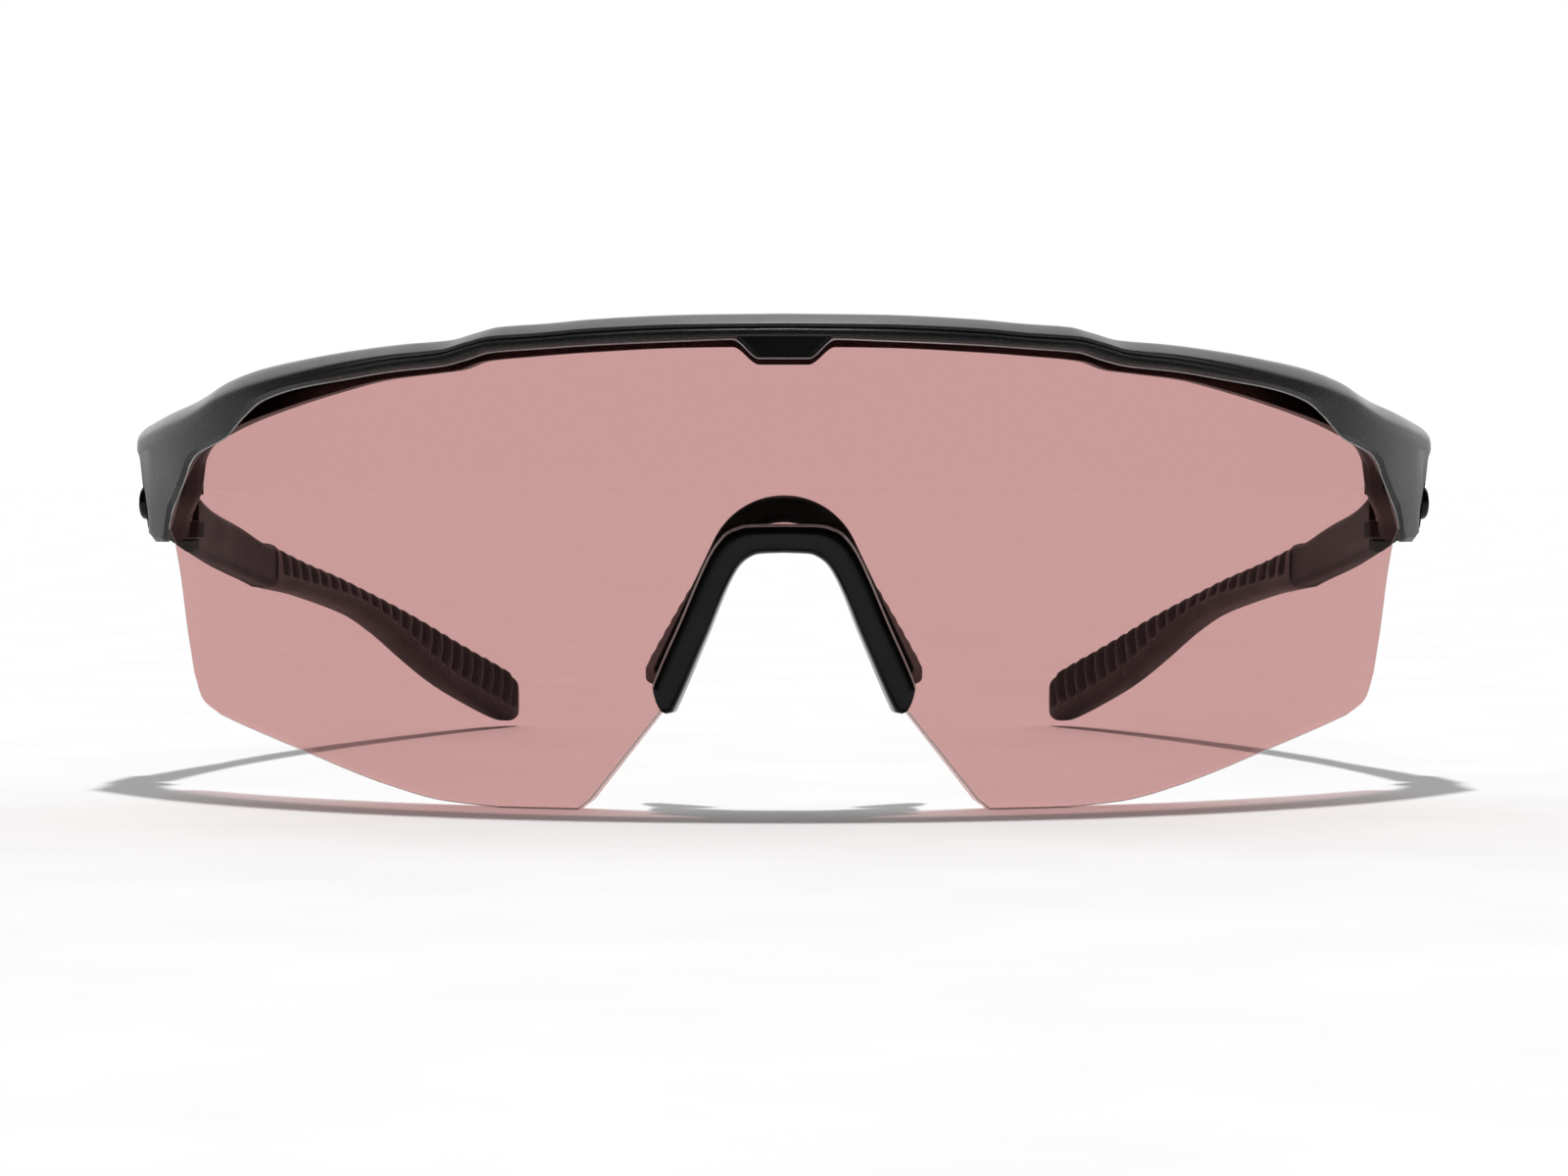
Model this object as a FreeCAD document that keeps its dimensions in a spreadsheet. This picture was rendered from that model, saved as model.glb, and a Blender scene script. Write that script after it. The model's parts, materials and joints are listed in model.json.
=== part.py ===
import FreeCAD, Part
import math
import os
import Sketcher
from FreeCAD import Placement, Rotation, Vector

# Wraparound sport sunglasses with one cylindrical shield lens.
# Frame: X to the wearer's left, the front faces -Y, +Z up. The origin is the bottom centre of
# the whole object, which rests on the lens's two lower lobes and on the two temple tips.

doc = FreeCAD.newDocument("sunglasses")

# Driving dimensions, in millimetres and degrees.
SIZES = {
    "front_crest": -73.5,        # Y of the lens's front face on the centre line
    "lens_radius": 82.0,         # outer radius of the cylindrical lens
    "lens_thickness": 2.0,
    "brow_outer": 84.3,          # radii of the brow frame's front and rear faces
    "brow_split": 80.9,
    "brow_inner": 77.6,
    "end_angle": 60.0,           # where the brow frame ends and the temples begin
    "hinge_radius": 77.3,        # hinge axis: distance from the lens axis ...
    "hinge_setback": 2.4,        # ... and distance behind the frame's end face
    "ear_radius": 1.7,
    "ear_root": 1.2,             # how far an ear's neck runs into the frame
    "shank_radius": 0.60,
    "screw_bore_radius": 0.65,
    "head_radius": 1.1,
    "head_height": 0.8,
    "slot_width": 0.35,          # driver slot across the screw's head
    "slot_depth": 0.4,
    "nut_radius": 1.05,
    "nut_height": 1.6,
    "ear_low": 27.2,             # Z of the lower ear's underside
    "ear_height": 2.0,
    "washer_thickness": 0.2,
    "washer_inset": 0.1,         # a washer is this much smaller than the ear it lies on
    "knuckle_height": 2.4,
    "clip_outer": 83.3,          # radii of the nose clip's front and rear faces
    "clip_inner": 78.7,
    "keystone_top": 9.0,
    "keystone_bottom": 4.6,
    "keystone_low": 46.35,
    "keystone_height": 2.1,
    "keystone_proud": 1.5,       # how far the keystone stands in front of the lens crest
    "saddle_arc": 8.0,           # the nose saddle's arch: outer radius, centre and leg angle
    "saddle_centre": 24.3,
    "saddle_width": 2.8,
    "saddle_lean": 25.4,
    "saddle_leg": 15.5,
    "saddle_front": 3.5,         # distances behind the lens crest
    "saddle_depth": 5.2,
    "pad_thickness": 1.8,
    "pad_depth": 7.0,
    "pad_length": 13.5,
    "pad_splay": 18.0,
    "pad_round": 0.7,
    "pad_start": 8.3,            # front edge of a pad, behind the lens crest
    "pad_drop": 0.5,             # a pad's foot hangs this far below the saddle's
    "pad_out": 2.2,              # its outer side lies this far outside the leg's inner corner
    "wire_radius": 0.5,
    "badge_length": 12.0,
    "badge_width": 3.8,
    "badge_height": 1.3,
    "badge_proud": 0.9,
    "badge_back": 51.5,          # badge centre, behind the lens crest
    "badge_level": 31.2,
    "badge_round": 0.5,
    "gap": 0.25,                 # working gap between the frame's end and a temple
    "ear_gap": 0.15,             # working gap round an ear
    "sweep_gap": 0.3,            # extra room for the corner that swings past the frame's end
}

sheet = doc.addObject("Spreadsheet::Sheet", "size")
for row, (alias, number) in enumerate(SIZES.items(), start=1):
    sheet.set("A%d" % row, alias)
    sheet.set("B%d" % row, str(number))
    sheet.setAlias("B%d" % row, alias)
doc.recompute()


def size(alias):
    """One driving dimension, read from the sheet."""
    return float(sheet.get(alias))


CREST = size("front_crest")
AXIS = CREST + size("lens_radius")           # Y of the lens's vertical cylinder axis
END = math.radians(size("end_angle"))
TALL = 60.0                                   # taller than the whole object
DEEP = 60.0                                   # deeper than the brow frame's wrap
SIDE = 90.0                                   # further out than any piece
NEAR_PLANE, FAR_PLANE = 20.0, 90.0            # a radial prism runs between these distances
BELOW = 1.0                                   # how far a cutting ring starts under the object


def polar(radius, angle, level):
    """A point at a radius and an angle about the lens axis; angle 0 is straight ahead."""
    return Vector(radius * math.sin(angle), AXIS - radius * math.cos(angle), level)


LEVEL = "level"                               # marks an outline point with a horizontal tangent


def chord(across, height, *marks):
    """Outline point (angle, Z) from the distance across the lens's front face."""
    return (math.degrees(math.asin(across / size("lens_radius"))), height) + marks


def feature(name, shape):
    """A free-form piece or blank, set from a computed shape."""
    item = doc.addObject("Part::Feature", name)
    item.Shape = shape
    item.Placement = Placement()
    return item


def bound(kind, name, **expressions):
    """A Part primitive whose properties are bound to the sheet's cells."""
    item = doc.addObject(kind, name)
    for prop, text in expressions.items():
        item.setExpression(prop, text)
    return item


def cut(name, base, tool):
    item = doc.addObject("Part::Cut", name)
    item.Base = base
    item.Tool = tool
    return item


def fuse(name, pieces):
    item = doc.addObject("Part::MultiFuse", name)
    item.Shapes = pieces
    return item


def mirror(name, source):
    """The piece's twin on the wearer's right side."""
    item = doc.addObject("Part::Mirroring", name)
    item.Source = source
    item.Normal = Vector(1, 0, 0)
    return item


# ---------------------------------------------------------------- shapes cut square to the lens

def plane_curve(points):
    """Curve through outline points (angle, Z) in the plane that touches the lens's crest."""
    reach = size("lens_radius")
    spots = [Vector(reach * math.tan(math.radians(p[0])), 0, p[1]) for p in points]
    if len(spots) == 2 and LEVEL not in points[0] + points[1]:
        return Part.LineSegment(spots[0], spots[1]).toBSpline()
    onward = Vector(math.copysign(1, spots[-1].x - spots[0].x), 0, 0)
    curve = Part.BSplineCurve()
    curve.interpolate(Points=spots, Tangents=[onward] * len(spots),
                      TangentFlags=[LEVEL in p for p in points])
    return curve


def stretched(curve, distance):
    """The same curve in the plane at that distance in front of the lens axis."""
    scale = distance / size("lens_radius")
    poles = [Vector(p.x * scale, AXIS - distance, p.z) for p in curve.getPoles()]
    copy = Part.BSplineCurve()
    copy.buildFromPolesMultsKnots(poles, curve.getMultiplicities(), curve.getKnots(),
                                  False, curve.Degree)
    return copy.toShape()


def radial_prism(stretches):
    """Solid whose walls follow the horizontal rays from the lens axis through an outline."""
    curves = [plane_curve(points) for points in stretches]
    near = [stretched(curve, NEAR_PLANE) for curve in curves]
    far = [stretched(curve, FAR_PLANE) for curve in curves]
    return Part.makeLoft([Part.Wire(near), Part.Wire(far)], True, True)


def mirrored_outline(half):
    """Closed outline from its stretches on the +X side, ordered from the centre line down."""
    other = [[(-p[0],) + p[1:] for p in reversed(points)] for points in reversed(half)]
    return half + other


def tube(outer, inner, base=-BELOW):
    """Ring about the lens axis, from a base level to above the object."""
    spot = Vector(0, AXIS, base)
    return Part.makeCylinder(outer, TALL, spot).cut(Part.makeCylinder(inner, TALL, spot))


# ---------------------------------------------------------------- shield lens

# The lobes dip a little below Z 0, where the ring's base then cuts them flat to rest on.
LOBE = -0.3
LENS_HALF = [
    [chord(0, 49.3, LEVEL), chord(20, 48.8), chord(30.5, 48.0), chord(46.2, 45.8), chord(57.6, 43.0),
     chord(64.0, 39.6)],
    [chord(64.0, 39.6), chord(67.6, 36.5)],
    [chord(67.6, 36.5), chord(68.0, 29.0)],
    [chord(68.0, 29.0), chord(67.0, 27.0)],
    [chord(67.0, 27.0), chord(66.2, 23.0), chord(65.4, 17.7), chord(64.45, 12.6)],
    [chord(64.45, 12.6), chord(63.4, 9.9), chord(61.1, 8.35)],
    [chord(61.1, 8.35), chord(52.1, 5.35), chord(41.05, 1.75), chord(35.5, 0.5),
     chord(28.0, LOBE, LEVEL)],
    [chord(28.0, LOBE), chord(22.4, LOBE)],
    [chord(22.4, LOBE, LEVEL), chord(19.9, 1.0)],
    [chord(19.9, 1.0), chord(12.0, 10.9)],
    [chord(12.0, 10.9), chord(5.9, 24.8)],
    [chord(5.9, 24.8), chord(4.6, 26.5), chord(2.9, 27.2), chord(0, 27.3, LEVEL)],
]

# Half the outline runs from the top along the brow, down the side and back up the nose cut-out.
lens_prism = radial_prism(mirrored_outline(LENS_HALF))
lens_tube = tube(size("lens_radius"), size("lens_radius") - size("lens_thickness"), 0)
shield_lens = feature("shield_lens", lens_tube.common(lens_prism))

# ---------------------------------------------------------------- brow frame

TOP = [(0, 50.9, LEVEL), (7, 50.8), (14, 50.4), (17.5, 50.0), (21.2, 49.7), (23.1, 49.1), (25.2, 48.4),
       (29.3, 48.0), (33.6, 47.4), (38.4, 46.45), (43.6, 45.2), (46.5, 43.9), (49.7, 42.4),
       (53.7, 41.05), (56.6, 39.9), (58.8, 38.5), (60.0, 37.3)]

BLANK_HALF = [
    TOP,
    [TOP[-1], (60.0, 27.0)],
    [(60.0, 27.0), (50.0, 27.0)],
    [(50.0, 27.0), (46.0, 36.0)],
    [(46.0, 36.0), (38.0, 41.5)],
    [(38.0, 41.5), (20.0, 45.2)],
    [(20.0, 45.2), (0, 45.2)],
]

# The lips are cut free below these two lines; the keystone's tab hangs down at the centre.
FRONT_LIP = [(3.6, 48.15), (6.84, 48.0), (13.8, 47.6), (17.3, 47.3), (21.1, 46.95), (23.0, 46.2),
             (24.9, 45.6), (29.0, 45.1), (33.3, 44.3), (38.0, 43.3), (40.5, 42.4), (43.2, 40.4),
             (46.1, 37.9)]
FRONT_LEG = [(46.1, 37.9), (48.3, 36.9), (49.6, 35.2), (50.6, 32.7), (52.2, 29.9), (53.4, 27.0),
             (53.6, 25.0)]
REAR_LIP = [(3.8, 47.5), (7.3, 47.45), (14.95, 47.0), (18.9, 46.65), (22.9, 46.2), (25.1, 45.3),
            (27.2, 45.0), (31.7, 44.4), (36.7, 43.3), (42.1, 41.9), (45.1, 41.0), (48.3, 39.4),
            (51.9, 37.0), (55.6, 33.0)]
REAR_LEG = [(55.6, 33.0), (54.6, 27.0), (54.3, 25.0)]

FRONT_WINDOW = [
    [(0, 46.2), (1.7, 46.2)],
    [(1.7, 46.2), FRONT_LIP[0]],
    FRONT_LIP,
    FRONT_LEG,
    [FRONT_LEG[-1], (0, 25.0)],
]
REAR_WINDOW = [
    [(0, 45.7), (1.8, 45.7)],
    [(1.8, 45.7), REAR_LIP[0]],
    REAR_LIP,
    REAR_LEG,
    [REAR_LEG[-1], (0, 25.0)],
]


def window(half, outer, inner):
    """Solid of the see-through area, between two radii."""
    return tube(outer, inner).common(radial_prism(mirrored_outline(half)))


brow_bar = tube(size("brow_outer"), size("brow_inner")).common(
    radial_prism(mirrored_outline(BLANK_HALF)))
MARGIN = 1.0                                  # cutting shapes run past the faces they open
brow_bar = brow_bar.cut(window(FRONT_WINDOW, size("brow_outer") + MARGIN, size("brow_split")))
brow_bar = brow_bar.cut(window(REAR_WINDOW, size("brow_split"), size("brow_inner") - MARGIN))

# Seen from the front, each end of the bar is trimmed to a waisted side line.
SIDE_LINE = [(69.2, 26.0), (69.2, 27.0), (70.55, 28.9), (70.55, 34.8), (71.0, 35.9), (71.6, 37.3),
             (71.6, TALL)]
for sign in (1, -1):
    outline = SIDE_LINE + [(SIDE, TALL), (SIDE, SIDE_LINE[0][1])]
    corners = [Vector(sign * x, CREST, z) for x, z in outline]
    side = Part.Face(Part.makePolygon(corners + corners[:1]))
    brow_bar = brow_bar.cut(side.extrude(Vector(0, DEEP, 0)))
brow_blank = feature("brow_blank", brow_bar)

# ---------------------------------------------------------------- nose clip and keystone

CLIP_HALF = [
    [(0, 29.4, LEVEL), chord(3.6, 29.35), chord(5.6, 28.75), chord(7.0, 27.3), chord(7.9, 25.7)],
    [chord(7.9, 25.7), chord(13.2, 13.4)],
    [chord(13.2, 13.4), chord(13.4, 12.3), chord(12.8, 10.6), chord(11.7, 9.8), chord(11.0, 10.8)],
    [chord(11.0, 10.8), chord(5.0, 24.5)],
    [chord(5.0, 24.5), chord(3.9, 25.75), chord(2.5, 26.35), (0, 26.45, LEVEL)],
]
clip_blank = feature("clip_blank", tube(size("clip_outer"), size("clip_inner")).common(
    radial_prism(mirrored_outline(CLIP_HALF))))
nose_clip = cut("nose_clip", clip_blank, shield_lens)


def plane_of(body, role):
    """One of a body's own origin planes."""
    return next(f for f in body.Origin.OriginFeatures if f.Role == role)


def sketch_on(body, name, role):
    sketch = body.newObject("Sketcher::SketchObject", name)
    sketch.AttachmentSupport = [(plane_of(body, role), "")]
    sketch.MapMode = "FlatFace"
    return sketch


def polygon(sketch, corners):
    """Closed chain of lines in a sketch, joined end to end."""
    count = len(corners)
    for i in range(count):
        sketch.addGeometry(Part.LineSegment(corners[i], corners[(i + 1) % count]), False)
    for i in range(count):
        sketch.addConstraint(Sketcher.Constraint("Coincident", i, 2, (i + 1) % count, 1))


# The keystone is a small black wedge let into the front lip over the nose.
keystone_body = doc.addObject("PartDesign::Body", "keystone_body")
keystone_sketch = sketch_on(keystone_body, "keystone_outline", "XZ_Plane")
wide, narrow = size("keystone_top") / 2, size("keystone_bottom") / 2
low, high = size("keystone_low"), size("keystone_low") + size("keystone_height")
polygon(keystone_sketch, [Vector(-narrow, low, 0), Vector(narrow, low, 0),
                          Vector(wide, high, 0), Vector(-wide, high, 0)])
LOWER, RIGHT, UPPER, LEFT = range(4)
for edge in (LOWER, UPPER):
    keystone_sketch.addConstraint(Sketcher.Constraint("Horizontal", edge))
keystone_sketch.addConstraint(Sketcher.Constraint("DistanceX", LOWER, 1, LOWER, 2, 2 * narrow))
keystone_sketch.setExpression("Constraints[6]", "size.keystone_bottom")
keystone_sketch.addConstraint(Sketcher.Constraint("DistanceX", UPPER, 2, UPPER, 1, 2 * wide))
keystone_sketch.setExpression("Constraints[7]", "size.keystone_top")
keystone_sketch.setExpression("AttachmentOffset.Base.z", "-size.front_crest")
keystone = keystone_body.newObject("PartDesign::Pad", "keystone_pad")
keystone.Profile = keystone_sketch
keystone.setExpression("Length", "size.keystone_proud")

# Its pocket opens through the lip's front face, so the keystone lies a little below that face.
keystone_pocket = bound("Part::Extrusion", "keystone_pocket",
                        LengthFwd="size.brow_outer - size.lens_radius + 1")
keystone_pocket.Base = keystone_sketch
keystone_pocket.DirMode = "Custom"
keystone_pocket.Dir = Vector(0, -1, 0)
keystone_pocket.Solid = True

# ---------------------------------------------------------------- nose saddle and pads

# The saddle is one springy arch of constant width behind the clip.
saddle_body = doc.addObject("PartDesign::Body", "saddle_body")
saddle_sketch = sketch_on(saddle_body, "saddle_outline", "XZ_Plane")
lean = math.radians(size("saddle_lean"))
arch_centre = Vector(0, size("saddle_centre"), 0)
leg_run = Vector(math.sin(lean), -math.cos(lean), 0) * size("saddle_leg")


def flipped(point):
    return Vector(-point.x, point.y, 0)


def arch_end(radius):
    """Where an arch of this radius meets the straight leg on the +X side."""
    return arch_centre + Vector(math.cos(lean), math.sin(lean), 0) * radius


def arch(radius):
    circle = Part.Circle(arch_centre, Vector(0, 0, 1), radius)
    return Part.ArcOfCircle(circle, lean, math.pi - lean)


outer_radius = size("saddle_arc")
inner_radius = outer_radius - size("saddle_width")
outer_top, inner_top = arch_end(outer_radius), arch_end(inner_radius)
outer_foot, inner_foot = outer_top + leg_run, inner_top + leg_run
OUTER_ARC, INNER_ARC = 0, 4
saddle_sketch.addGeometry([
    arch(outer_radius),
    Part.LineSegment(flipped(outer_top), flipped(outer_foot)),
    Part.LineSegment(flipped(outer_foot), flipped(inner_foot)),
    Part.LineSegment(flipped(inner_foot), flipped(inner_top)),
    arch(inner_radius),
    Part.LineSegment(inner_top, inner_foot),
    Part.LineSegment(inner_foot, outer_foot),
    Part.LineSegment(outer_foot, outer_top),
], False)
for first, first_end, second, second_end in (
        (0, 2, 1, 1), (1, 2, 2, 1), (2, 2, 3, 1), (3, 2, 4, 2),
        (4, 1, 5, 1), (5, 2, 6, 1), (6, 2, 7, 1), (7, 2, 0, 1)):
    saddle_sketch.addConstraint(
        Sketcher.Constraint("Coincident", first, first_end, second, second_end))
saddle_sketch.addConstraint(Sketcher.Constraint("Radius", OUTER_ARC, outer_radius))
saddle_sketch.setExpression("Constraints[8]", "size.saddle_arc")
saddle_sketch.addConstraint(Sketcher.Constraint("Radius", INNER_ARC, inner_radius))
saddle_sketch.setExpression("Constraints[9]", "size.saddle_arc - size.saddle_width")
saddle_sketch.setExpression("AttachmentOffset.Base.z", "-(size.front_crest + size.saddle_front)")
saddle_pad = saddle_body.newObject("PartDesign::Pad", "saddle_pad")
saddle_pad.Profile = saddle_sketch
saddle_pad.Reversed = True
saddle_pad.setExpression("Length", "size.saddle_depth")
nose_saddle = cut("nose_saddle", saddle_body, nose_clip)

# Each soft pad leans with its saddle leg and splays outwards towards the face.
pad_box = bound("Part::Box", "pad_box", Length="size.pad_thickness", Width="size.pad_depth",
                Height="size.pad_length")
pad_box.Placement = Placement(
    Vector(inner_foot.x + size("pad_out") - size("pad_thickness"), CREST + size("pad_start"),
           inner_foot.y - size("pad_drop")),
    Rotation(Vector(0, 0, 1), -size("pad_splay"))
    * Rotation(Vector(0, 1, 0), -size("saddle_lean")))
doc.recompute()
pad_soft = doc.addObject("Part::Fillet", "pad_soft")
pad_soft.Base = pad_box
pad_soft.Edges = [(i, size("pad_round"), size("pad_round")) for i in range(1, 13)]
nose_pad_left = cut("nose_pad_left", pad_soft, saddle_body)
nose_pad_right = mirror("nose_pad_right", nose_pad_left)

# ---------------------------------------------------------------- hinge hardware, left side

HINGE = Vector(size("hinge_radius") * math.sin(END) + size("hinge_setback") * math.cos(END),
               AXIS - size("hinge_radius") * math.cos(END) + size("hinge_setback") * math.sin(END),
               0)
SIDE_TURN = size("end_angle")                # the frame's end face looks back at this angle
WASHER_GAP = 0.03
LOWER_EAR = size("ear_low")
LOWER_TOP = LOWER_EAR + size("ear_height")
KNUCKLE = LOWER_TOP + size("washer_thickness") + WASHER_GAP
KNUCKLE_TOP = KNUCKLE + size("knuckle_height")
UPPER_EAR = KNUCKLE_TOP + size("washer_thickness") + WASHER_GAP
UPPER_TOP = UPPER_EAR + size("ear_height")


def at_hinge(item, level):
    item.Placement = Placement(HINGE + Vector(0, 0, level), Rotation())
    return item


def hinge_ear(name, level):
    """One lug of the frame: a round boss and the neck that joins it to the frame's end."""
    boss = at_hinge(bound("Part::Cylinder", name + "_boss", Radius="size.ear_radius",
                          Height="size.ear_height"), level)
    neck = bound("Part::Box", name + "_neck", Length="2 * size.ear_radius",
                 Width="size.hinge_setback + size.ear_root", Height="size.ear_height")
    turn = Rotation(Vector(0, 0, 1), SIDE_TURN - 90)
    corner = turn.multVec(
        Vector(-size("ear_radius"), -size("hinge_setback") - size("ear_root"), 0))
    neck.Placement = Placement(HINGE + corner + Vector(0, 0, level), turn)
    return [boss, neck]


ears = fuse("ears_left", hinge_ear("lower_ear", LOWER_EAR) + hinge_ear("upper_ear", UPPER_EAR))
frame_bore = at_hinge(bound("Part::Cylinder", "frame_bore", Radius="size.screw_bore_radius",
                            Height=str(UPPER_TOP - LOWER_EAR + 2 * MARGIN)), LOWER_EAR - MARGIN)
nut_seat = at_hinge(bound("Part::Cylinder", "nut_seat", Radius="size.nut_radius",
                          Height="size.nut_height"), LOWER_EAR)
head_seat = at_hinge(bound("Part::Cylinder", "head_seat", Radius="size.head_radius",
                           Height="size.head_height"), UPPER_TOP - size("head_height"))
seats = fuse("seats_left", [frame_bore, nut_seat, head_seat])

nut_blank = at_hinge(bound("Part::Cylinder", "nut_blank", Radius="size.nut_radius",
                           Height="size.nut_height"), LOWER_EAR)
nut_thread = at_hinge(bound("Part::Cylinder", "nut_thread", Radius="size.shank_radius",
                            Height="size.nut_height"), LOWER_EAR)
hinge_nut_left = cut("hinge_nut_left", nut_blank, nut_thread)

shank = at_hinge(bound("Part::Cylinder", "shank", Radius="size.shank_radius",
                       Height=str(round(UPPER_TOP - LOWER_EAR, 3))), LOWER_EAR)
head = at_hinge(bound("Part::Cylinder", "screw_head", Radius="size.head_radius",
                      Height="size.head_height"), UPPER_TOP - size("head_height"))
slot = bound("Part::Box", "screw_slot", Length="size.slot_width", Width="3 * size.head_radius",
             Height="size.slot_depth")
slot.Placement = Placement(
    HINGE + Vector(-size("slot_width") / 2, -1.5 * size("head_radius"),
                   UPPER_TOP - size("slot_depth")), Rotation())
hinge_screw_left = cut("hinge_screw_left", fuse("screw_blank", [shank, head]), slot)

washers = []
for name, level in (("lower_washer", LOWER_TOP), ("upper_washer", KNUCKLE_TOP + WASHER_GAP)):
    disc = at_hinge(bound("Part::Cylinder", name + "_disc", Radius="size.ear_radius - size.washer_inset",
                          Height="size.washer_thickness"), level)
    hole = at_hinge(bound("Part::Cylinder", name + "_hole", Radius="size.screw_bore_radius",
                          Height="size.washer_thickness"), level)
    washers.append(cut(name, disc, hole))
hinge_washers_left = doc.addObject("Part::Compound", "hinge_washers_left")
hinge_washers_left.Links = washers

brow_grooved = cut("brow_grooved", brow_blank, shield_lens)
brow_slotted = cut("brow_slotted", brow_grooved, keystone_pocket)
brow_ears = fuse("brow_ears", [brow_slotted, ears, mirror("ears_right", ears)])
brow_frame = cut("brow_frame", brow_ears, fuse("all_seats", [seats,
                                                             mirror("seats_right", seats)]))

# ---------------------------------------------------------------- temples, left side

# Inner face of a temple seen from above: distance behind the crest, X.
INNER_LINE = Part.BSplineCurve()
INNER_LINE.interpolate([Vector(back, x, 0) for back, x in (
    (38, 67.3), (60, 64.6), (80, 60.6), (100, 55.0), (120, 48.0), (135, 42.0), (151, 34.4))])


def inner_face(back):
    """X of a temple's inner face at this distance behind the crest."""
    here = Part.Line(Vector(back, 0, 0), Vector(back, 1, 0))
    return INNER_LINE.intersect(here)[0].Y


def arc_middle(corner, near, far, half_turn):
    """Middle of the arc that touches both of a corner's runs, at near and far."""
    reach = (near - corner).Length
    radius = reach / math.tan(half_turn)
    chord_middle = (near + far) / 2
    return chord_middle + (corner - chord_middle).normalize() * radius * (1 - math.cos(half_turn))


def turned(before, corner, after, reach):
    """Ends and middle of the arc that rounds one corner, starting at this reach from it."""
    near = corner + (before - corner).normalize() * reach
    far = corner + (after - corner).normalize() * reach
    half_turn = (corner - before).getAngle(after - corner) / 2
    return near, arc_middle(corner, near, far, half_turn), far


def rounded_section(corners, radius):
    """Closed wire of straight sides and tangent arcs round four corners."""
    arcs = []
    for i, corner in enumerate(corners):
        before, after = corners[i - 1], corners[(i + 1) % len(corners)]
        half_turn = (corner - before).getAngle(after - corner) / 2
        arcs.append(turned(before, corner, after, radius * math.tan(half_turn)))
    edges = []
    for i, (near, middle, far) in enumerate(arcs):
        edges.append(Part.Arc(near, middle, far).toShape())
        edges.append(Part.LineSegment(far, arcs[(i + 1) % len(arcs)][0]).toShape())
    return Part.Wire(edges)


def temple_loft(sections):
    """Solid through (distance behind the crest, inset, thickness, low Z, high Z, corner).

    An arm's section also has (flare, lift, drop): extra thickness at its top, and how far its
    lower outer corner is raised and its upper inner corner lowered.
    """
    wires = []
    for back, inset, thick, low, high, corner, *lean in sections:
        flare, lift, drop = lean or (0, 0, 0)
        inner = inner_face(back) + inset
        spots = ((inner, low), (inner + thick, low + lift),
                 (inner + thick + flare, high), (inner, high - drop))
        wires.append(rounded_section([Vector(x, CREST + back, z) for x, z in spots], corner))
    return Part.makeLoft(wires, True, False)


ARM_SECTIONS = [
    (38, 0, 3.3, 26.4, 37.3, 0.9, 1.2, 1.2, 2.0),
    (44, 0, 4.3, 25.3, 36.4, 0.9, 0.7, 3.2, 2.4),
    (52, 0, 5.1, 24.2, 32.8, 0.9, 0, 3.5, 1.7),
    (62, 0, 4.6, 23.15, 29.9, 0.8, 0, 1.8, 0.9),
    (72, 0, 3.9, 21.8, 27.4, 0.7, 0, 0.7, 0.5),
    (79, 0, 3.5, 20.8, 25.9, 0.7),
]
TANG_SECTIONS = [
    (78, 0.8, 2.2, 21.9, 24.7, 0.4),
    (90, 0.9, 2.2, 20.4, 22.9, 0.4),
    (102, 0.9, 2.2, 18.3, 20.5, 0.4),
    (112, 0.9, 2.2, 15.8, 18.0, 0.4),
    (122, 0.9, 2.2, 12.2, 14.8, 0.4),
    (132, 0.9, 2.0, 8.4, 11.0, 0.4),
    (141, 0.9, 1.9, 5.0, 7.8, 0.4),
]
GRIP_SECTIONS = [
    (79, -0.1, 3.8, 20.75, 26.05, 0.9),
    (90, -0.1, 4.1, 19.6, 23.7, 1.0),
    (101, -0.1, 4.2, 17.8, 21.5, 1.0),
    (108, -0.1, 4.2, 16.3, 19.8, 1.0),
    (116, -0.1, 4.2, 13.5, 17.7, 1.0),
    (124, -0.1, 4.2, 9.9, 15.4, 1.0),
    (132, -0.1, 4.1, 6.3, 12.8, 1.0),
    (140, -0.1, 4.0, 3.3, 10.1, 1.0),
    (146, 0, 3.6, 1.1, 8.0, 1.2),
    (149.3, 0.2, 2.8, 0.05, 6.7, 1.2),
]


def hinge_block(start, end, inner, outer, low, high):
    """Box about the hinge axis, between distances behind it and radial distances from it."""
    block = Part.makeBox(outer - inner, end - start, high - low, Vector(inner, start, low))
    turn = Rotation(Vector(0, 0, 1), SIDE_TURN - 90)
    return block.transformed(Placement(HINGE, turn).toMatrix())


def hinge_post(radius, low, high):
    return Part.makeCylinder(radius, high - low, HINGE + Vector(0, 0, low))


# The arm's front end clears the frame, its lugs and the way they sweep as it folds.
ear = size("ear_radius")
setback = size("hinge_setback")
FAR = 20.0
knuckle_space = (KNUCKLE, KNUCKLE_TOP)
arm_front = temple_loft(ARM_SECTIONS)
arm_front = arm_front.cut(hinge_block(-FAR, size("gap") - setback, -FAR, FAR, 0, TALL))
rounding = hinge_block(-FAR, ear + size("sweep_gap"), -FAR, 0, 0, TALL)
rounding = rounding.cut(hinge_post(ear, *knuckle_space))
arm_front = arm_front.cut(rounding)
for low, high in ((0, KNUCKLE), (KNUCKLE_TOP, TALL)):
    arm_front = arm_front.cut(hinge_post(ear + size("ear_gap"), low, high))
    arm_front = arm_front.cut(hinge_block(-FAR, 0, -FAR, ear + size("ear_gap"), low, high))
arm_front = arm_front.fuse(hinge_post(ear, *knuckle_space))
arm_front = arm_front.cut(hinge_post(size("screw_bore_radius"), 0, TALL))
temple_blank = feature("temple_blank", arm_front.fuse(temple_loft(TANG_SECTIONS)))

# A thin wire stiffens the arm and lets the temple tip be bent to the head.
WIRE_ROUTE = [(54, 2.3, 26.9), (78, 1.9, 23.3), (102, 2.0, 19.4), (122, 2.0, 13.5), (139, 1.85, 7.2)]


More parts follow.
